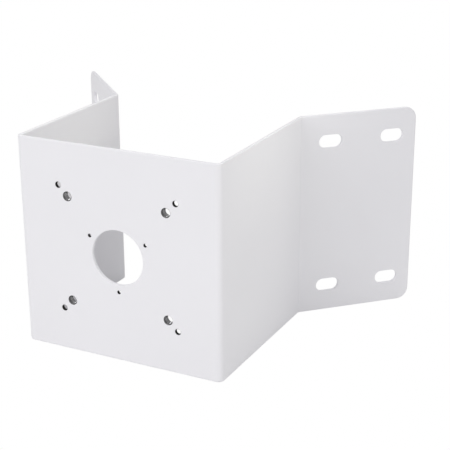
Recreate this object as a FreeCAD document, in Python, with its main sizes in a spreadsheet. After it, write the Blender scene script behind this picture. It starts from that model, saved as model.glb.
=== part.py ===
import FreeCAD, Part
import os
import Sketcher
from math import cos, pi, radians, sin, tan

# Corner mount bracket for a camera: one folded sheet of painted steel with four pressed-in nuts.
# The origin is the centre of the cable hole on the front face. The front face looks towards -Y,
# +Z is up, and the two halves of the bracket are mirror images across the YZ plane.

DIMENSIONS = [
    # Folded sheet
    ("sheet_thickness", 3.0, "wall of the steel sheet"),
    ("sheet_height", 170.0, "height of the sheet, along the bends"),
    ("bend_radius", 2.0, "inside radius of the four bends"),
    ("front_width", 174.0, "front plate, over the outsides of both side plates"),
    ("side_depth", 142.0, "front face to the corner where the wing turns out"),
    ("wing_angle", 45.0, "turn of the wing away from its side plate, in degrees"),
    ("wing_length", 101.0, "corner where the wing turns out to the wing's end"),
    ("corner_radius", 10.0, "rounded outer corners of the wings"),
    ("edge_radius", 1.2, "softened outer edges of the sheet under the paint"),
    ("rim_chamfer", 0.4, "chamfered rims of the cable hole and the slots"),
    # Holes in the front plate
    ("cable_hole_diameter", 44.0, "cable hole in the middle of the front plate"),
    ("nut_spacing", 85.0, "side of the square on which the four nuts lie"),
    ("corner_hole_step", 8.0, "nut to the tapped hole outside it, both across and up"),
    ("corner_hole_diameter", 5.0, "tapped corner holes"),
    ("ring_diameter", 56.0, "circle of the small tapped holes round the cable hole"),
    ("ring_hole_diameter", 3.0, "small tapped holes"),
    ("ring_hole_count", 3, "number of small tapped holes"),
    ("mouth_chamfer", 0.4, "countersunk mouths of the tapped holes"),
    # Slots for the wall bolts
    ("slot_width", 11.0, "slot, across"),
    ("slot_length", 20.0, "slot, end to end"),
    ("slot_offset", 25.5, "corner where the wing turns out to the first slot's centre"),
    ("slot_pitch", 54.0, "slot to slot along the wing"),
    ("slot_rise", 125.0, "slot to slot up the wing"),
    # Pressed-in nuts
    ("nut_shank_diameter", 10.5, "shank of the nut, pressed into the sheet"),
    ("nut_body_diameter", 13.0, "body of the nut behind the sheet"),
    ("nut_body_height", 3.5, "body of the nut behind the sheet"),
    ("nut_chamfer", 0.6, "chamfer round the free end of the nut's body"),
    ("nut_bore_diameter", 6.7, "bore of the nut at the tips of its thread"),
    ("nut_mouth_diameter", 8.2, "countersunk mouths of the nut's bore"),
]
FIT = 1e-3


def make_sheet(doc):
    """Table of the driving dimensions: name, value and meaning, one row each."""
    sheet = doc.addObject("Spreadsheet::Sheet", "Sheet")
    for row, (alias, value, meaning) in enumerate(DIMENSIONS, start=1):
        sheet.set("A%d" % row, alias)
        sheet.set("B%d" % row, str(value))
        sheet.set("C%d" % row, meaning)
        sheet.setAlias("B%d" % row, alias)
    doc.recompute()
    return sheet


def make_body(doc, label):
    """Empty body for one kind of piece, named by its label."""
    body = doc.addObject("PartDesign::Body", label)
    body.Label = label
    return body


def origin_plane(body, role):
    """One of the three planes through the body's origin."""
    return next(plane for plane in body.Origin.OriginFeatures if plane.Role == role)


def new_sketch(body, name, role):
    """Empty sketch on one of the body's own origin planes."""
    sketch = body.newObject("Sketcher::SketchObject", name)
    sketch.AttachmentSupport = (origin_plane(body, role), "")
    sketch.MapMode = "FlatFace"
    return sketch


def drive(sketch, name, constraint, formula):
    """Adds a named dimension to a sketch and ties it to the table of dimensions."""
    index = sketch.addConstraint(constraint)
    sketch.renameConstraint(index, name)
    sketch.setExpression("Constraints." + name, formula)


def draw_outline(sketch, corners):
    """Closed outline of straight lines: line i runs from corner i to the next corner."""
    count = len(corners)
    for i in range(count):
        start = FreeCAD.Vector(*corners[i], 0)
        end = FreeCAD.Vector(*corners[(i + 1) % count], 0)
        sketch.addGeometry(Part.LineSegment(start, end))
    for i in range(count):
        sketch.addConstraint(Sketcher.Constraint("Coincident", i, 2, (i + 1) % count, 1))


def draw_circle(sketch, centre, diameter, formula):
    """Circle whose diameter is driven and whose centre is still free."""
    axis = FreeCAD.Vector(0, 0, 1)
    sketch.addGeometry(Part.Circle(FreeCAD.Vector(*centre, 0), axis, diameter / 2))
    drive(sketch, "diameter", Sketcher.Constraint("Diameter", 0, diameter), formula)


def cut_through(body, name, sketch):
    """Cut through the sheet, from the skin that carries the sketch."""
    cut = body.newObject("PartDesign::Pocket", name)
    cut.Profile = sketch
    cut.Type = "Length"
    cut.setExpression("Length", "Sheet.sheet_thickness")
    return cut


def repeat_in_rectangle(body, name, feature, plane, width_formula, height_formula):
    """Repeats a feature at the four corners of a rectangle, along the two axes of plane's sketch."""
    pattern = body.newObject("PartDesign::LinearPattern", name)
    pattern.Originals = [feature]
    pattern.Direction = (plane, ["H_Axis"])
    pattern.Direction2 = (plane, ["V_Axis"])
    pattern.Occurrences = 2
    pattern.Occurrences2 = 2
    pattern.setExpression("Length", width_formula)
    pattern.setExpression("Length2", height_formula)
    body.Tip = pattern
    body.Document.recompute()


def pick_edges(body, choose):
    """The body's last feature with the names of the edges that choose(shape) picks from it."""
    body.Document.recompute()
    shape = body.Tip.Shape
    chosen = choose(shape)
    return (body.Tip, ["Edge%d" % i for i, edge in enumerate(shape.Edges, start=1)
                       if any(edge.isSame(other) for other in chosen)])


def round_edges(body, name, choose, formula):
    """Rounds the edges that choose(shape) picks."""
    base = pick_edges(body, choose)
    rounding = body.newObject("PartDesign::Fillet", name)
    rounding.Base = base
    rounding.setExpression("Radius", formula)


def chamfer_edges(body, name, choose, formula):
    """Chamfers the edges that choose(shape) picks."""
    base = pick_edges(body, choose)
    chamfer = body.newObject("PartDesign::Chamfer", name)
    chamfer.Base = base
    chamfer.setExpression("Size", formula)


def is_straight(edge):
    return isinstance(edge.Curve, Part.Line)


def has_length(edge, length):
    return is_straight(edge) and abs(edge.Length - length) < FIT


def has_radius(edge, radius):
    return not is_straight(edge) and abs(edge.Curve.Radius - radius) < FIT


def upright_edges(shape, places):
    """Edges that stand upright over the given points of the plan."""
    def stands_over(edge, x, y):
        corner = FreeCAD.Vector(x, y, 0)
        return is_straight(edge) and all((end.Point - corner).cross(FreeCAD.Vector(0, 0, 1)).Length < FIT
                                         for end in edge.Vertexes)

    return [edge for edge in shape.Edges if any(stands_over(edge, x, y) for x, y in places)]


def section_corners(sheet):
    """Sharp corners of the sheet's right half seen from above: outer skin, wing end, inner skin."""
    wall = sheet.sheet_thickness
    half = sheet.front_width / 2
    turn = radians(sheet.wing_angle)
    end_x = half + sheet.wing_length * sin(turn)
    end_y = sheet.side_depth + sheet.wing_length * cos(turn)
    return [
        (0, 0), (half, 0), (half, sheet.side_depth), (end_x, end_y),
        (end_x - wall * cos(turn), end_y + wall * sin(turn)),
        (half - wall, sheet.side_depth + wall * tan(turn / 2)), (half - wall, wall), (0, wall),
    ]


def draw_half_section(body, sheet):
    """Right half of the sheet seen from above, with sharp corners, every wall one thickness."""
    corners = section_corners(sheet)
    wall = sheet.sheet_thickness
    front, side, wing, end, wing_inside, side_inside, front_inside, middle = range(len(corners))
    sketch = new_sketch(body, "half_section", "XY_Plane")
    draw_outline(sketch, corners)
    sketch.addConstraint(Sketcher.Constraint("Coincident", front, 1, -1, 1))
    for line in (front, front_inside):
        sketch.addConstraint(Sketcher.Constraint("Horizontal", line))
    for line in (side, side_inside, middle):
        sketch.addConstraint(Sketcher.Constraint("Vertical", line))
    sketch.addConstraint(Sketcher.Constraint("Parallel", wing, wing_inside))
    sketch.addConstraint(Sketcher.Constraint("Perpendicular", wing, end))
    lengths = [
        ("half_width", front, sheet.front_width / 2, "Sheet.front_width / 2"),
        ("side_depth", side, sheet.side_depth, "Sheet.side_depth"),
        ("wing_length", wing, sheet.wing_length, "Sheet.wing_length"),
        ("end_wall", end, wall, "Sheet.sheet_thickness"),
        ("front_wall", middle, wall, "Sheet.sheet_thickness"),
    ]
    for name, line, length, formula in lengths:
        drive(sketch, name, Sketcher.Constraint("Distance", line, length), formula)
    side_wall = Sketcher.Constraint("DistanceX", side_inside, 2, side, 1, wall)
    drive(sketch, "side_wall", side_wall, "Sheet.sheet_thickness")
    slope = Sketcher.Constraint("Angle", wing, pi / 2 - radians(sheet.wing_angle))
    drive(sketch, "wing_slope", slope, "(90 - Sheet.wing_angle) * 1 deg")
    return sketch


def fold_half(body, sheet):
    """Right half of the sheet: the section raised to its height, then its two bends rounded."""
    pad = body.newObject("PartDesign::Pad", "half_sheet")
    pad.Profile = draw_half_section(body, sheet)
    pad.SideType = "Symmetric"
    pad.setExpression("Length", "Sheet.sheet_height")
    corners = section_corners(sheet)
    round_edges(body, "inside_bends", lambda shape: upright_edges(shape, [corners[2], corners[6]]),
                "Sheet.bend_radius")
    round_edges(body, "outside_bends", lambda shape: upright_edges(shape, [corners[1], corners[5]]),
                "Sheet.bend_radius + Sheet.sheet_thickness")


def draw_slot(body, sheet):
    """Lower slot next to the bend, drawn on the outer skin of the right wing."""
    radius = sheet.slot_width / 2
    straight = sheet.slot_length - sheet.slot_width
    left = sheet.slot_offset - straight / 2
    right = left + straight
    level = -sheet.slot_rise / 2
    sketch = new_sketch(body, "slot_outline", "XZ_Plane")
    swing = FreeCAD.Rotation(FreeCAD.Vector(0, 1, 0), 90 - sheet.wing_angle)
    sketch.AttachmentOffset = FreeCAD.Placement(FreeCAD.Vector(), swing)
    sketch.setExpression("AttachmentOffset.Base.x", "Sheet.front_width / 2")
    sketch.setExpression("AttachmentOffset.Base.z", "-Sheet.side_depth")
    sketch.setExpression("AttachmentOffset.Rotation.Angle", "90 - Sheet.wing_angle")
    axis = FreeCAD.Vector(0, 0, 1)
    right_circle = Part.Circle(FreeCAD.Vector(right, level, 0), axis, radius)
    left_circle = Part.Circle(FreeCAD.Vector(left, level, 0), axis, radius)
    top = (FreeCAD.Vector(left, level + radius, 0), FreeCAD.Vector(right, level + radius, 0))
    bottom = (FreeCAD.Vector(right, level - radius, 0), FreeCAD.Vector(left, level - radius, 0))
    sketch.addGeometry(Part.LineSegment(*top))
    sketch.addGeometry(Part.ArcOfCircle(right_circle, -pi / 2, pi / 2))
    sketch.addGeometry(Part.LineSegment(*bottom))
    sketch.addGeometry(Part.ArcOfCircle(left_circle, pi / 2, 3 * pi / 2))
    top_line, right_end, bottom_line, left_end = range(4)
    joints = [
        (top_line, 2, right_end, 2), (right_end, 1, bottom_line, 1),
        (bottom_line, 2, left_end, 2), (left_end, 1, top_line, 1),
    ]
    for joint in joints:
        sketch.addConstraint(Sketcher.Constraint("Tangent", *joint))
    sketch.addConstraint(Sketcher.Constraint("Horizontal", top_line))
    drive(sketch, "end_radius", Sketcher.Constraint("Radius", right_end, radius), "Sheet.slot_width / 2")
    drive(sketch, "straight", Sketcher.Constraint("DistanceX", left_end, 3, right_end, 3, straight),
          "Sheet.slot_length - Sheet.slot_width")
    drive(sketch, "first_centre", Sketcher.Constraint("DistanceX", -1, 1, left_end, 3, left),
          "Sheet.slot_offset - (Sheet.slot_length - Sheet.slot_width) / 2")
    drive(sketch, "level", Sketcher.Constraint("DistanceY", left_end, 3, -1, 1, -level),
          "Sheet.slot_rise / 2")
    return sketch


def finish_wing(body, sheet):
    """Four slots in the wing, and its two outer corners rounded."""
    sketch = draw_slot(body, sheet)
    slot = cut_through(body, "slot", sketch)
    repeat_in_rectangle(body, "slots", slot, sketch, "Sheet.slot_pitch", "Sheet.slot_rise")

    def wing_end_edges(shape):
        """Short edges across the sheet at the top and bottom of the wing's end."""
        return [edge for edge in shape.Edges if has_length(edge, sheet.sheet_thickness)
                and abs(edge.CenterOfMass.z) > sheet.sheet_height / 2 - FIT
                and edge.CenterOfMass.x > sheet.front_width / 2]

    round_edges(body, "wing_corners", wing_end_edges, "Sheet.corner_radius")


def mirror_half(body):
    """Adds the left half of the sheet, the mirror image of the right half."""
    mirrored = body.newObject("PartDesign::Mirrored", "both_halves")
    mirrored.TransformMode = "Whole shape"
    mirrored.MirrorPlane = (origin_plane(body, "YZ_Plane"), [""])
    body.Tip = mirrored
    body.Document.recompute()


def cut_square_of_holes(body, name, diameter, diameter_formula, spacing, spacing_formula):
    """Round holes at the corners of a square about the cable hole."""
    sketch = new_sketch(body, name + "_outline", "XZ_Plane")
    draw_circle(sketch, (-spacing / 2, -spacing / 2), diameter, diameter_formula)
    for way in ("DistanceX", "DistanceY"):
        drive(sketch, "from_middle_" + way[-1].lower(), Sketcher.Constraint(way, 0, 3, -1, 1, spacing / 2),
              spacing_formula + " / 2")
    first = cut_through(body, name + "_first", sketch)
    repeat_in_rectangle(body, name, first, sketch, spacing_formula, spacing_formula)


def cut_cable_hole(body, sheet):
    """Round hole for the cables, in the middle of the front plate."""
    sketch = new_sketch(body, "cable_hole_outline", "XZ_Plane")
    draw_circle(sketch, (0, 0), sheet.cable_hole_diameter, "Sheet.cable_hole_diameter")
    sketch.addConstraint(Sketcher.Constraint("Coincident", 0, 3, -1, 1))
    cut_through(body, "cable_hole", sketch)


def cut_ring_holes(body, sheet):
    """Small holes evenly round the cable hole, the first straight below its centre."""
    sketch = new_sketch(body, "ring_hole_outline", "XZ_Plane")
    draw_circle(sketch, (0, -sheet.ring_diameter / 2), sheet.ring_hole_diameter, "Sheet.ring_hole_diameter")
    sketch.addConstraint(Sketcher.Constraint("PointOnObject", 0, 3, -2))
    drive(sketch, "from_middle", Sketcher.Constraint("DistanceY", 0, 3, -1, 1, sheet.ring_diameter / 2),
          "Sheet.ring_diameter / 2")
    first = cut_through(body, "ring_hole_first", sketch)
    pattern = body.newObject("PartDesign::PolarPattern", "ring_holes")
    pattern.Originals = [first]
    pattern.Axis = (sketch, ["N_Axis"])
    pattern.Angle = 360
    pattern.setExpression("Occurrences", "Sheet.ring_hole_count")
    body.Tip = pattern
    body.Document.recompute()


def opening_edges(shape):
    """Edges round the holes and slots, on both skins of the sheet."""
    flat_faces = [face for face in shape.Faces if isinstance(face.Surface, Part.Plane)]
    wires = [wire for face in flat_faces for wire in face.Wires if not wire.isSame(face.OuterWire)]
    return [edge for wire in wires for edge in wire.Edges]


def soften_outline(body, sheet):
    """Rounds the cut edge all the way round the sheet, on both skins."""
    def outline_edges(shape):
        openings = opening_edges(shape)
        return [edge for edge in shape.Edges if not has_length(edge, sheet.sheet_thickness)
                and not has_length(edge, sheet.sheet_height)
                and not any(edge.isSame(other) for other in openings)]

    round_edges(body, "soft_outline", outline_edges, "Sheet.edge_radius")


def chamfer_openings(body, sheet):
    """Chamfers the cable hole and the slots on both skins, and the tapped holes in front."""
    seat = sheet.nut_shank_diameter / 2
    tapped = (sheet.corner_hole_diameter / 2, sheet.ring_hole_diameter / 2)

    def rims(shape):
        return [edge for edge in opening_edges(shape)
                if not any(has_radius(edge, radius) for radius in (seat, *tapped))]

    def mouths(shape):
        return [edge for edge in opening_edges(shape) if edge.CenterOfMass.y < FIT
                and any(has_radius(edge, radius) for radius in tapped)]

    chamfer_edges(body, "chamfered_rims", rims, "Sheet.rim_chamfer")
    chamfer_edges(body, "chamfered_mouths", mouths, "Sheet.mouth_chamfer")


def make_folded_bracket(doc, sheet):
    """Folded sheet with its holes and slots, then the softened cut edges."""
    body = make_body(doc, "folded_bracket")
    fold_half(body, sheet)
    finish_wing(body, sheet)
    mirror_half(body)
    cut_cable_hole(body, sheet)
    cut_ring_holes(body, sheet)
    cut_square_of_holes(body, "nut_seats", sheet.nut_shank_diameter, "Sheet.nut_shank_diameter",
                        sheet.nut_spacing, "Sheet.nut_spacing")
    cut_square_of_holes(body, "corner_holes", sheet.corner_hole_diameter, "Sheet.corner_hole_diameter",
                        sheet.nut_spacing + 2 * sheet.corner_hole_step,
                        "(Sheet.nut_spacing + 2 * Sheet.corner_hole_step)")
    soften_outline(body, sheet)
    chamfer_openings(body, sheet)
    return body


def nut_corners(sheet):
    """Half section of a nut as (radius, depth from the front face), round its ring of metal."""
    bore = sheet.nut_bore_diameter / 2
    mouth = sheet.nut_mouth_diameter / 2
    shank = sheet.nut_shank_diameter / 2
    outside = sheet.nut_body_diameter / 2
    wall = sheet.sheet_thickness
    back = wall + sheet.nut_body_height
    sink = mouth - bore
    return [
        (mouth, 0), (shank, 0), (shank, wall), (outside, wall), (outside, back - sheet.nut_chamfer),
        (outside - sheet.nut_chamfer, back), (mouth, back), (bore, back - sink), (bore, sink),
    ]


def draw_nut_section(body, sheet):
    """Half section of the lower left nut, drawn from above beside the nut's own axis."""
    corners = nut_corners(sheet)
    face, shank, shoulder, outside, chamfer, back, back_sink, bore, front_sink = range(len(corners))
    sketch = new_sketch(body, "nut_section", "XY_Plane")
    sketch.setExpression("AttachmentOffset.Base.x", "-Sheet.nut_spacing / 2")
    sketch.setExpression("AttachmentOffset.Base.z", "-Sheet.nut_spacing / 2")
    draw_outline(sketch, corners)
    for line in (face, shoulder, back):
        sketch.addConstraint(Sketcher.Constraint("Horizontal", line))
    for line in (shank, outside, bore):
        sketch.addConstraint(Sketcher.Constraint("Vertical", line))
    sketch.addConstraint(Sketcher.Constraint("PointOnObject", face, 1, -1))
    sink = (sheet.nut_mouth_diameter - sheet.nut_bore_diameter) / 2
    sink_formula = "(Sheet.nut_mouth_diameter - Sheet.nut_bore_diameter) / 2"
    across = [
        ("mouth", (-1, 1, face, 1), sheet.nut_mouth_diameter / 2, "Sheet.nut_mouth_diameter / 2"),
        ("shank", (-1, 1, face, 2), sheet.nut_shank_diameter / 2, "Sheet.nut_shank_diameter / 2"),
        ("outside", (-1, 1, outside, 1), sheet.nut_body_diameter / 2, "Sheet.nut_body_diameter / 2"),
        ("bore", (-1, 1, bore, 1), sheet.nut_bore_diameter / 2, "Sheet.nut_bore_diameter / 2"),
        ("back_mouth", (-1, 1, back, 2), sheet.nut_mouth_diameter / 2, "Sheet.nut_mouth_diameter / 2"),
        ("chamfer_across", (chamfer, 2, chamfer, 1), sheet.nut_chamfer, "Sheet.nut_chamfer"),
    ]
    along = [
        ("shank_depth", (-1, 1, shoulder, 1), sheet.sheet_thickness, "Sheet.sheet_thickness"),
        ("body_height", (shoulder, 1, back, 1), sheet.nut_body_height, "Sheet.nut_body_height"),
        ("chamfer_along", (chamfer, 1, chamfer, 2), sheet.nut_chamfer, "Sheet.nut_chamfer"),
        ("back_sink", (bore, 1, back, 2), sink, sink_formula),
        ("front_sink", (face, 1, bore, 2), sink, sink_formula),
    ]
    for name, points, length, formula in across:
        drive(sketch, name, Sketcher.Constraint("DistanceX", *points, length), formula)
    for name, points, length, formula in along:
        drive(sketch, name, Sketcher.Constraint("DistanceY", *points, length), formula)
    return sketch


def make_clinch_nuts(doc, sheet):
    """One turned nut, repeated at the four corners of its square as four separate solids."""
    body = make_body(doc, "clinch_nuts")
    body.AllowCompound = True
    sketch = draw_nut_section(body, sheet)
    nut = body.newObject("PartDesign::Revolution", "nut")
    nut.Profile = sketch
    nut.ReferenceAxis = (sketch, ["V_Axis"])
    nut.Angle = 360
    pattern = body.newObject("PartDesign::LinearPattern", "nuts")
    pattern.Originals = [nut]
    pattern.Direction = (sketch, ["H_Axis"])
    pattern.Direction2 = (sketch, ["N_Axis"])
    pattern.Occurrences = 2
    pattern.Occurrences2 = 2
    pattern.setExpression("Length", "Sheet.nut_spacing")
    pattern.setExpression("Length2", "Sheet.nut_spacing")
    body.Tip = pattern
    return body


def check_sub_parts(doc, bodies):
    """Stops the build where an object is in error, a shape is missing, or a cut has taken nothing."""
    doc.recompute()
    for item in doc.Objects:
        if "Invalid" in item.State or "Error" in item.State:
            raise RuntimeError("%s is in error" % item.Label)
    for body in bodies:
        if body.Shape.isNull() or not body.Shape.isValid():
            raise RuntimeError("%s has no valid shape" % body.Label)
        volume = 0.0
        for item in body.Group:
            if item.TypeId == "PartDesign::Pocket" and not item.Shape.Volume < volume - FIT:
                raise RuntimeError("%s cuts nothing" % item.Label)
            if hasattr(item, "Shape") and item.Shape.Solids:
                volume = item.Shape.Volume
        box = body.Shape.BoundBox
        print(body.Label, len(body.Shape.Solids), "solids", round(body.Shape.Volume), "mm3",
              [round(v, 2) for v in (box.XMin, box.XMax, box.YMin, box.YMax, box.ZMin, box.ZMax)])


def main():
    os.makedirs("parts", exist_ok=True)
    doc = FreeCAD.newDocument("bracket")
    sheet = make_sheet(doc)
    bodies = [make_folded_bracket(doc, sheet), make_clinch_nuts(doc, sheet)]
    check_sub_parts(doc, bodies)
    for body in bodies:
        body.Shape.exportStep("parts/" + body.Label + ".step")


main()
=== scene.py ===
# %% [markdown]
# # Corner mount bracket for a camera
# The real object is one sheet of steel, 3 mm thick, folded four times and powder coated white,
# with four steel nuts pressed into its front plate. The drawing program has already fixed every
# size, so this lesson never moves or resizes anything: it loads those solids, gives them real
# finishes, cuts real screw threads into the holes, and sets up the studio round them.

# %% Load the drawn solids
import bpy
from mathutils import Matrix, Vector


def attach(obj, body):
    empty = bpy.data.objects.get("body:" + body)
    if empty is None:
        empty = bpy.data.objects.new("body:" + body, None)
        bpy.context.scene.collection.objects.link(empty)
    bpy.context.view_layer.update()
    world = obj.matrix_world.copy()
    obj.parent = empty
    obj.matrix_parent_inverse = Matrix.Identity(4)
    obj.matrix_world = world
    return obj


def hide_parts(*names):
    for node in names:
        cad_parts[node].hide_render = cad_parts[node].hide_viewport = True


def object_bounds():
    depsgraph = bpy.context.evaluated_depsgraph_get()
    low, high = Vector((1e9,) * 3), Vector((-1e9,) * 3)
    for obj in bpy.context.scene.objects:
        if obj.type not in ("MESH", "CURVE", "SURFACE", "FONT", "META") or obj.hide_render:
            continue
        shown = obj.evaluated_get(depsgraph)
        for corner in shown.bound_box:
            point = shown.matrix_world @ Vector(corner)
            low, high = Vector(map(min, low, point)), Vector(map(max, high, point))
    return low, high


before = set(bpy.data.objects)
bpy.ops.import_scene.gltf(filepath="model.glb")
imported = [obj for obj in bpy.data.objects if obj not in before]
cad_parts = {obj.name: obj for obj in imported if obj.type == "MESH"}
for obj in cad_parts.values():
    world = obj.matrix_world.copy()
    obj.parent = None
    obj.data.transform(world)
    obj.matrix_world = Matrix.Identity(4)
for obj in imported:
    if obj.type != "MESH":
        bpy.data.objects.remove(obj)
drawn_box = [list(corner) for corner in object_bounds()]
print("drawn box, lowest and highest corner in metres:", drawn_box)

# %% Tools used below
from math import cos, pi, radians, sin

import bmesh
import bpy
from mathutils import Matrix, Vector

MM = 0.001
scene = bpy.context.scene
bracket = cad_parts["folded_bracket"]
print("the sheet has", len(bracket.data.polygons), "faces")

# %% [markdown]
# ## The camera
# The photograph is taken from the front right and a little above, with a long lens, so the
# upright bends stay almost parallel. The place, the three turns and the lens were worked out from
# the bracket's known edges. A camera looks along its own -Z, so its axes are written down as the
# three columns of its turn: right, up and backwards.

# %% Camera of the photograph
YAW, PITCH, ROLL = radians(27.0463), radians(20.1642), radians(-0.3332)
CAMERA_PLACE = Vector((0.44746, -0.69908, 0.32933))
LENS, SENSOR = 94.996, 36.0    # mm
NEAREST, FARTHEST = 0.01, 50.0    # m

forward = Vector((-sin(YAW) * cos(PITCH), cos(YAW) * cos(PITCH), -sin(PITCH)))
level = Vector((cos(YAW), sin(YAW), 0))
upward = level.cross(forward)
right = level * cos(ROLL) + upward * sin(ROLL)
up = upward * cos(ROLL) - level * sin(ROLL)
turn = Matrix((right, up, -forward)).transposed()
camera = bpy.data.objects.new("photo_camera", bpy.data.cameras.new("photo_camera"))
camera.data.sensor_width = SENSOR
camera.data.lens = LENS
camera.data.clip_start = NEAREST
camera.data.clip_end = FARTHEST
camera.matrix_world = Matrix.Translation(CAMERA_PLACE) @ turn.to_4x4()
scene.collection.objects.link(camera)
scene.camera = camera
print("the camera stands", round(CAMERA_PLACE.length, 3), "m from the middle of the cable hole")

# %% [markdown]
# ## Writing a finish as sums
# A finish in Blender is a net of small nodes. Drawing such a net by hand hides what it does, so
# two small classes let it be written like ordinary arithmetic. A `Wire` is a place where a number
# comes out, and adding or multiplying wires adds the Math nodes. A `Finish` is a material, and its
# one method `add` makes any other node.

# %% Wires and finishes
class Wire:
    """A place in a material where a number, a colour or a direction comes out."""

    def __init__(self, finish, socket):
        self.finish = finish
        self.socket = socket

    def calculate(self, operation, *numbers):
        """A Math node on these numbers or wires."""
        return self.finish.add("ShaderNodeMath", {"operation": operation},
                               dict(enumerate(numbers)))

    def __add__(self, other):
        return self.calculate("ADD", self, other)

    def __radd__(self, other):
        return self.calculate("ADD", other, self)

    def __sub__(self, other):
        return self.calculate("SUBTRACT", self, other)

    def __rsub__(self, other):
        return self.calculate("SUBTRACT", other, self)

    def __mul__(self, other):
        return self.calculate("MULTIPLY", self, other)

    def __rmul__(self, other):
        return self.calculate("MULTIPLY", other, self)

    def __lt__(self, other):
        return self.calculate("LESS_THAN", self, other)

    def __gt__(self, other):
        return self.calculate("GREATER_THAN", self, other)

    def __abs__(self):
        return self.calculate("ABSOLUTE", self)

    def square_root(self):
        return self.calculate("SQRT", self)

    def sine(self):
        return self.calculate("SINE", self)


class Finish:
    """A new material, or the sky, whose nodes are added one at a time."""

    def __init__(self, owner):
        self.owner = owner
        owner.use_nodes = True
        self.tree = owner.node_tree
        self.tree.nodes.clear()

    def add(self, kind, settings=None, values=None, out=0):
        """Adds a node, first its settings, then the values or wires of its sockets."""
        node = self.tree.nodes.new(kind)
        for name, value in (settings or {}).items():
            setattr(node, name, value)
        for name, value in (values or {}).items():
            if isinstance(value, Wire):
                self.tree.links.new(value.socket, node.inputs[name])
            else:
                node.inputs[name].default_value = value
        return Wire(self, node.outputs[out]) if node.outputs else None

    def place(self):
        """Where a point lies on the object, in metres from the middle of the cable hole."""
        return self.add("ShaderNodeTexCoord", out="Object")

    def along(self, axis):
        """How far a point lies along the axis X, Y or Z, in metres."""
        return self.add("ShaderNodeSeparateXYZ", values={0: self.place()}, out=axis)

    def cloudy(self, size, detail=2.0):
        """Soft irregular patches, about `size` metres across, from 0 to 1."""
        return self.add("ShaderNodeTexNoise", values={
            "Vector": self.place(), "Scale": 1 / size, "Detail": detail})

    def between(self, mask, first, second):
        """The first colour where the mask is 0, the second where it is 1."""
        first, second = [colour if isinstance(colour, Wire) else (*colour, 1.0)
                         for colour in (first, second)]
        return self.add("ShaderNodeMix", {"data_type": "RGBA"},
                        {0: mask, 6: first, 7: second}, out=2)

    def bumps(self, height, depth, strength):
        """A surface direction that makes the light see bumps of this depth in metres."""
        return self.add("ShaderNodeBump", values={
            "Height": height, "Distance": depth, "Strength": strength})

    def show(self, **values):
        """Ends the net in the Principled shader. Underscores stand for spaces in socket names."""
        shader = self.add("ShaderNodeBsdfPrincipled", values={
            name.replace("_", " "): value for name, value in values.items()})
        self.add("ShaderNodeOutputMaterial", values={"Surface": shader})
        print("finish", self.owner.name, "has", len(self.tree.nodes), "nodes")
        return self.owner


# %% [markdown]
# ## The white powder coat
# Powder paint is sprayed on dry and melted in an oven. It flows into a skin about a tenth of a
# millimetre thick that stays faintly wavy, like orange peel, with waves of one to two millimetres.
# That waviness could be modelled, but it would need millions of faces, so it is a bump of a few
# hundredths of a millimetre. The cover is never perfectly even either: broad patches are a shade
# greyer, the gloss changes a little, and a speck of dust is baked in here and there.

# %% Powder coat
PATCH, PEEL_WAVE, GRAIN = 55 * MM, 1.5 * MM, 0.45 * MM
PEEL_DEPTH = 0.05 * MM
SPECK_CELLS, SPECK_RADIUS = 45.0, 0.3 * MM    # 45 cells along a metre, with one speck in each
GREYER_WHITE, CLEAR_WHITE = (0.790, 0.783, 0.816), (0.812, 0.805, 0.838)
DUST = (0.45, 0.44, 0.42)


def powder_coat(name):
    """White paint with broad patches, orange peel and a few specks of dust."""
    paint = Finish(bpy.data.materials.new(name))
    patches = paint.cloudy(PATCH, detail=3.0)
    peel = paint.cloudy(PEEL_WAVE)
    fine_grain = paint.cloudy(GRAIN, detail=1.0)
    speck_distance = paint.add("ShaderNodeTexVoronoi", {"feature": "F1"},
                               {"Vector": paint.place(), "Scale": SPECK_CELLS}, out="Distance")
    specks = speck_distance < SPECK_CELLS * SPECK_RADIUS
    white = paint.between(patches, GREYER_WHITE, CLEAR_WHITE)
    return paint.show(
        Base_Color=paint.between(specks * 0.3, white, DUST),
        Roughness=0.40 + 0.10 * fine_grain + 0.04 * patches,
        Normal=paint.bumps(peel + 0.25 * fine_grain, PEEL_DEPTH, 0.35),
        IOR=1.5,
    )


white_coat = powder_coat("white_powder_coat")
for holder in bracket.material_slots:
    holder.material = white_coat

# %% [markdown]
# ## Bare steel
# The threads are cut or kept free of paint, so they show bare steel. The nuts are plated and
# shine, but the first turns behind each mouth get a darker, dull copy of that steel, which is
# painted shade. The small holes are tapped into the sheet itself, and their steel is painted
# nearly black: painted shade for narrow holes whose walls reflect mostly each other. The backs
# of the nuts are turned on a lathe, which leaves fine rings round each nut's axis. The distance
# from the nearest axis makes the rings: the four axes lie on a square, so taking the size of x
# and z without their signs folds all four onto one.

# %% Thread steel and turned steel
NUT_SPACING = 85 * MM
STAIN, SCRATCH, SCRATCH_DEPTH = 1.2 * MM, 0.12 * MM, 0.01 * MM
CLOUD, LATHE_RING, LATHE_DEPTH = 2.5 * MM, 0.22 * MM, 0.006 * MM


def thread_steel(name, darkest, lightest, dullness):
    """Bare steel of a thread, stained between two greys."""
    steel = Finish(bpy.data.materials.new(name))
    stain = steel.cloudy(STAIN, detail=3.0)
    scratches = steel.cloudy(SCRATCH, detail=1.0)
    return steel.show(
        Base_Color=steel.between(stain, darkest, lightest),
        Metallic=1.0,
        Roughness=dullness + 0.16 * stain,
        Normal=steel.bumps(scratches, SCRATCH_DEPTH, 0.5),
    )


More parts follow.
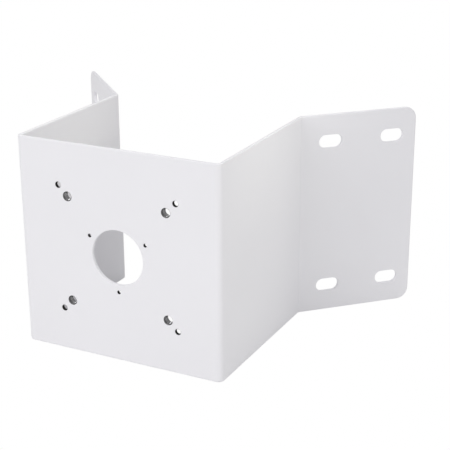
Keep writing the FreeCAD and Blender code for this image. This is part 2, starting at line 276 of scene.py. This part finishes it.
def turned_steel(name):
    """Bare steel with a lathe's fine rings round the nearest nut's axis."""
    steel = Finish(bpy.data.materials.new(name))
    across = abs(steel.along("X")) - NUT_SPACING / 2
    upwards = abs(steel.along("Z")) - NUT_SPACING / 2
    from_axis = (across * across + upwards * upwards).square_root()
    rings = (from_axis * (2 * pi / LATHE_RING)).sine()
    clouds = steel.cloudy(CLOUD, detail=3.0)
    return steel.show(
        Base_Color=steel.between(clouds, (0.50, 0.50, 0.49), (0.62, 0.62, 0.60)),
        Metallic=1.0,
        Roughness=0.26 + 0.14 * clouds,
        Normal=steel.bumps(rings + 0.6 * clouds, LATHE_DEPTH, 0.6),
    )


nut_thread = thread_steel("nut_thread_steel", (0.20, 0.198, 0.204), (0.38, 0.377, 0.386), 0.11)
# a darker, dull copy of the thread steel for the nuts' first turns: painted shade
shaded_nut_entry = thread_steel("nut_entry_painted_shade", (0.08, 0.079, 0.082), (0.24, 0.238, 0.245), 0.36)
# nearly black steel for the small tapped holes: painted shade for their walls
shaded_tapped_thread = thread_steel("tapped_thread_painted_shade",
                             (0.02, 0.02, 0.02), (0.055, 0.054, 0.055), 0.42)
turned_back = turned_steel("turned_steel")

# %% [markdown]
# ## A screw thread as a mesh
# A thread is a groove that winds along a hole. It could be a swept groove cut out of the metal,
# but cutting leaves messy faces. Here the wall of the hole is a fine net of points instead: each
# point knows its depth and its place round the hole, and how far it has come along the pitch says
# whether it lies on a ridge or in the groove. The flat tips, the steep flanks and the flat roots
# take the shares of the pitch that they have in every metric thread.

# %% Shape of a metric thread
AROUND = 64
STEPS_A_PITCH = 14
HALF_TIP, FLANK = 1 / 8, 5 / 16    # of a pitch
NUT_TIP, NUT_ROOT, NUT_PITCH = 3.35, 3.9, 1.25    # radii and pitch in mm


def thread_radius(travel, tip, root):
    """Radius of the hole's wall after `travel` pitches: whole numbers are the ridge's flat tip."""
    from_tip = abs((travel + 0.5) % 1 - 0.5)
    climb = (from_tip - HALF_TIP) / FLANK
    return tip + (root - tip) * min(max(climb, 0.0), 1.0)


def threaded_rings(tip, root, pitch, start, end, sinks, turned):
    """Rings of (radius, depth) for a threaded hole; `sinks` gives its countersinks' radius."""
    rows = max(2, round((end - start) / pitch * STEPS_A_PITCH))
    rings = []
    for row in range(rows + 1):
        depth = start + (end - start) * row / rows
        ring = []
        for step in range(AROUND):
            travel = depth / pitch - step / AROUND + turned
            ring.append((max(thread_radius(travel, tip, root), sinks(depth)), depth))
        rings.append(ring)
    return rings


one_pitch = [round(thread_radius(step / 8, NUT_TIP, NUT_ROOT), 2) for step in range(9)]
print("the wall of a nut over one pitch, radius in mm:", one_pitch)

# %% [markdown]
# ## Turning closed shapes
# A nut is a ring of metal. Its rings of points run down the threaded hole, over the back, and
# forward again along the outside, until the last ring meets the first. One helper joins such rings
# into a closed skin, puts it at a hole of the front plate, and gives each strip its finish.

# %% Joining rings into a closed skin
SHARPEST_SMOOTH = radians(35)


def plain_ring(radius, depth):
    """A round ring of points, all at one depth."""
    return [(radius, depth)] * AROUND


def add_turned_shape(mesh, rings, finishes, across, upwards):
    """Adds rings of points about one hole's axis, which runs back along +Y from the front."""
    laid = []
    for ring in rings:
        points = []
        for step, (radius, depth) in enumerate(ring):
            angle = 2 * pi * step / AROUND
            points.append(mesh.verts.new((across + radius * cos(angle) * MM, depth * MM,
                                          upwards + radius * sin(angle) * MM)))
        laid.append(points)
    for number, finish in enumerate(finishes):
        near, far = laid[number], laid[(number + 1) % len(laid)]
        for step in range(AROUND):
            after = (step + 1) % AROUND
            face = mesh.faces.new((near[step], near[after], far[after], far[step]))
            face.material_index = finish
            face.smooth = True


def finish_piece(mesh, name, finishes):
    """Turns the collected shapes into one piece that rides on the bracket."""
    bmesh.ops.recalc_face_normals(mesh, faces=mesh.faces)
    data = bpy.data.meshes.new(name)
    mesh.to_mesh(data)
    mesh.free()
    for finish in finishes:
        data.materials.append(finish)
    data.set_sharp_from_angle(angle=SHARPEST_SMOOTH)
    piece = bpy.data.objects.new(name, data)
    scene.collection.objects.link(piece)
    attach(piece, "root")
    print(name, "has", len(data.polygons), "faces")
    return piece


# %% [markdown]
# ## The four pressed-in nuts
# The photograph looks into the nuts at an angle and shows dark and light bands: the ridges of an
# M8 thread that starts flush with the paint. The solids have a plain bore there, so these nuts
# replace them at the same places and with the same outside. The thread has its 1.25 mm pitch, and
# its first turn closes the mouth to 7.8 mm, where the plain bore opens to 8.2 mm. In the
# photograph the first 1.9 mm are darker than what lies deeper, so those strips get a darker, dull
# copy of the thread steel, which is painted shade. The front ring is painted over with the sheet
# and disappears in it. The back is bare turned steel with softened edges.

# %% Nuts with M8 threads
SHEET = 3.0    # mm, as the other lengths of this cell and the next
NUT_MOUTH, NUT_SHANK, NUT_BODY, NUT_BACK = 3.9, 5.25, 6.5, 6.5
ROUND_OVER, SHOULDER_EASE = 0.6, 0.15
# depth in mm of the darker steel behind each nut's mouth, which is painted shade
SHADED_ENTRY_DEPTH = 1.9
NUT_TURN = 0.27    # each nut's thread starts this part of a turn after the last one's
SQUARE = [(-1, -1), (1, -1), (-1, 1), (1, 1)]
PAINTED, THREAD, TURNED, ENTRY = range(4)


def nut_sinks(depth):
    """Radius of the countersinks at both ends of the nut."""
    return NUT_MOUTH - min(depth, NUT_BACK - depth)


def nut_outside():
    """A nut from its back mouth to its front, as (radius, depth, finish of the strip)."""
    back_edge = [(NUT_BODY - ROUND_OVER + ROUND_OVER * sin(radians(angle)),
                  NUT_BACK - ROUND_OVER + ROUND_OVER * cos(radians(angle)), TURNED)
                 for angle in range(0, 91, 15)]
    shoulder = [(NUT_BODY, SHEET + SHOULDER_EASE, TURNED),
                (NUT_BODY - SHOULDER_EASE, SHEET, TURNED)]
    return back_edge + shoulder + [(NUT_SHANK, SHEET, TURNED), (NUT_SHANK, 0.0, PAINTED)]


nuts = bmesh.new()
outside = nut_outside()
for number, (x_side, z_side) in enumerate(SQUARE):
    thread = threaded_rings(NUT_TIP, NUT_ROOT, NUT_PITCH, 0.0, NUT_BACK, nut_sinks,
                            NUT_TURN * number)
    rings = thread + [plain_ring(radius, depth) for radius, depth, finish in outside]
    # the first strips behind each mouth take the darker entry steel, which is painted shade
    threaded = [ENTRY if ring[0][1] < SHADED_ENTRY_DEPTH else THREAD for ring in thread[:-1]]
    finishes = threaded + [TURNED] + [finish for radius, depth, finish in outside]
    add_turned_shape(nuts, rings, finishes, x_side * NUT_SPACING / 2, z_side * NUT_SPACING / 2)
threaded_nuts = finish_piece(nuts, "threaded_nuts",
                             [white_coat, nut_thread, turned_back, shaded_nut_entry])
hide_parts("clinch_nuts")

# %% [markdown]
# ## Threads in the small holes
# The corner holes (M5) and the three holes round the cable hole (M3 with the fine pitch of
# 0.35 mm) are tapped straight into the sheet. The solids have plain holes as wide as the thread's
# root, so each gets a thin sleeve whose inside is the thread and whose outside is buried a
# twentieth of a millimetre in the sheet. The M3 threads are cut shallow, because full ones would
# close the holes more than the photograph shows.

# %% Threaded sleeves
CORNER_THREAD = (2.2, 2.5, 0.8)    # radius of the tips, radius of the roots, pitch, in mm
RING_THREAD = (1.43, 1.5, 0.35)
MOUTH_SINK, CLEARANCE, BURIED = 0.4, 0.02, 0.05
CORNER_REACH = NUT_SPACING / 2 + 8 * MM
RING_REACH = 28 * MM
CORNER_TURN, RING_TURN = 0.31, 0.37


def add_tapped_thread(mesh, sizes, across, upwards, turned):
    """A sleeve from below the hole's countersunk mouth to the back of the sheet."""
    tip, root, pitch = sizes
    start, end, buried = MOUTH_SINK, SHEET - CLEARANCE, root + BURIED

    def sink(depth):
        return root - CLEARANCE - (depth - start)

    thread = threaded_rings(tip, root - CLEARANCE, pitch, start, end, sink, turned)
    rings = thread + [plain_ring(buried, end), plain_ring(buried, start)]
    add_turned_shape(mesh, rings, [0] * len(rings), across, upwards)


corner_threads = bmesh.new()
for number, (x_side, z_side) in enumerate(SQUARE):
    add_tapped_thread(corner_threads, CORNER_THREAD, x_side * CORNER_REACH,
                      z_side * CORNER_REACH, CORNER_TURN * number)
# the corner holes' sleeves carry the nearly black steel, which is painted shade
finish_piece(corner_threads, "corner_hole_threads", [shaded_tapped_thread])

ring_threads = bmesh.new()
for number, angle in enumerate([radians(270), radians(30), radians(150)]):
    add_tapped_thread(ring_threads, RING_THREAD, RING_REACH * cos(angle),
                      RING_REACH * sin(angle), RING_TURN * number)
finish_piece(ring_threads, "ring_hole_threads", [shaded_tapped_thread])

# %% [markdown]
# ## The floor and the sky
# The photograph stands the bracket on pure white paper with no shadow, yet the underside of every
# edge and the inside of the channel are soft grey. No single floor does both: one bright enough to
# look white would flood the channel with light. Studios solve this with a lit white sweep behind
# and a grey card below. Here one disc plays both parts. A Light Path node tells which ray asks:
# the ray that makes the picture sees white, and every ray that carries light to the bracket sees a
# matt grey card, which glows a little except inside the channel. The sky is split in the same way:
# it is white in the picture, and only as bright as the bracket's greys need elsewhere.

# %% Floor
WHITE = (1.0, 1.0, 1.0, 1.0)
CARD_GLOW = 0.26
CARD_PATCH = 0.4    # m
FLOOR_RADIUS, FLOOR_GAP = 8.0, 0.1 * MM
CHANNEL_HALF_WIDTH, CHANNEL_DEPTH = 86 * MM, 142 * MM


def show_both(finish, output, lit, white):
    """Ends a net with one shader for the rays that carry light and white for the picture's own."""
    in_picture = finish.add("ShaderNodeLightPath", out="Is Camera Ray")
    either = finish.add("ShaderNodeMixShader", values={0: in_picture, 1: lit, 2: white})
    finish.add(output, values={"Surface": either})


def floor_finish(name):
    """Grey card to the bracket, white paper in the picture."""
    card = Finish(bpy.data.materials.new(name))
    shade = card.cloudy(CARD_PATCH, detail=1.0)
    between_plates = abs(card.along("X")) < CHANNEL_HALF_WIDTH
    behind_front = abs(card.along("Y") - CHANNEL_DEPTH / 2) < CHANNEL_DEPTH / 2
    in_channel = between_plates * behind_front
    grey = card.add("ShaderNodeBsdfPrincipled", values={
        "Base Color": card.between(shade, (0.59, 0.59, 0.58), (0.61, 0.61, 0.60)),
        "Roughness": 0.9,
        # the card's glow is painted light from below; left out inside the channel, it paints shade
        # there
        "Emission Color": card.between(in_channel, (1.0, 1.0, 1.0), (0.0, 0.0, 0.0)),
        "Emission Strength": CARD_GLOW})
    paper = card.add("ShaderNodeEmission", values={"Color": WHITE, "Strength": 1.0})
    show_both(card, "ShaderNodeOutputMaterial", grey, paper)
    return card.owner


disc = bmesh.new()
bmesh.ops.create_circle(disc, cap_ends=True, segments=96, radius=FLOOR_RADIUS)
floor_data = bpy.data.meshes.new("floor")
disc.to_mesh(floor_data)
disc.free()
floor_data.materials.append(floor_finish("pale_floor"))
floor = bpy.data.objects.new("floor", floor_data)
floor.location = (0, 0, drawn_box[0][2] - FLOOR_GAP)
scene.collection.objects.link(floor)
print("the floor lies at", round(floor.location.z, 4), "m")

# %% Sky
SKY_STRENGTH = 0.598

scene.view_settings.view_transform = "Standard"
sky = Finish(bpy.data.worlds.new("pale_sky"))
dim = sky.add("ShaderNodeBackground", values={"Color": WHITE, "Strength": SKY_STRENGTH})
bright = sky.add("ShaderNodeBackground", values={"Color": WHITE, "Strength": 1.0})
show_both(sky, "ShaderNodeOutputWorld", dim, bright)
scene.world = sky.owner
print("sky strength", SKY_STRENGTH)

# %% [markdown]
# ## The light
# The photograph is lit softly from all round. The front plate is brightest, the right plate a step
# greyer, the wing fades downwards, the upper cut edges shine, and the inside of the channel is
# darkest low down. Large soft boxes light the front plate, the upper edges and the right side.
# Three narrow spots do what is left. The first reaches over the right plate to the inside of the
# left one, and the second evens out the right plate. Both have a little less blue, because the
# paint is a cold white and the photograph's channel is not. The third stands where the flanks of
# the nuts' threads mirror it to the camera, which gives the threads their bright streaks.
# The watts were not guessed: the scene was rendered once with each light alone, and because light
# simply adds up, the strengths whose sum comes nearest to the photograph's greys could be worked
# out.

# %% Soft boxes and narrow spots
NEUTRAL, WARM = (1.0, 1.0, 1.0), (1.0, 1.0, 0.88)
LIGHTS = [
    # name, place, aim, size, cone in degrees (none for a soft box), watts, tint
    ("front_box", (-0.3, -1.8, 0.6), (0.0, 0.05, 0.0), 1.0, None, 8.9, NEUTRAL),
    ("edge_light_front", (-0.2, -0.6, 1.5), (0.0, 0.05, 0.0), 0.6, None, 2.54, NEUTRAL),
    ("edge_light_back", (0.1, 0.7, 1.4), (0.0, 0.1, 0.0), 0.6, None, 4.56, NEUTRAL),
    ("low_fill_right", (1.6, -0.3, 0.15), (0.08, 0.08, -0.04), 0.6, None, 1.8, NEUTRAL),
    ("channel_spot", (1.4, 0.2, 0.78), (-0.084, 0.06, 0.075), 0.2, 6.2, 53.3, WARM),
    ("right_plate_spot", (1.2, 0.0, 0.25), (-0.084, 0.07, -0.02), 0.2, 7.0, 16.2, WARM),
    ("thread_glint", (-0.60, -1.17, 1.23), (0.0, 0.0, 0.0), 0.42, 9.0, 36.0, NEUTRAL),
]


def add_light(name, place, aim, size, cone, watts, tint):
    """A round soft box, or a narrow spot where a cone is given, turned to its aim."""
    lamp = bpy.data.lights.new(name, "SPOT" if cone else "AREA")
    lamp.energy = watts
    lamp.color = tint
    if cone:
        lamp.spot_size = radians(cone)
        lamp.spot_blend = 1.0
        lamp.shadow_soft_size = size / 2
    else:
        lamp.shape = "DISK"
        lamp.size = size
    holder = bpy.data.objects.new(name, lamp)
    holder.location = place
    holder.rotation_euler = (Vector(aim) - Vector(place)).to_track_quat("-Z", "Y").to_euler()
    holder.visible_camera = False
    scene.collection.objects.link(holder)


for light in LIGHTS:
    add_light(*light)
print("lights:", ", ".join(light[0] for light in LIGHTS))
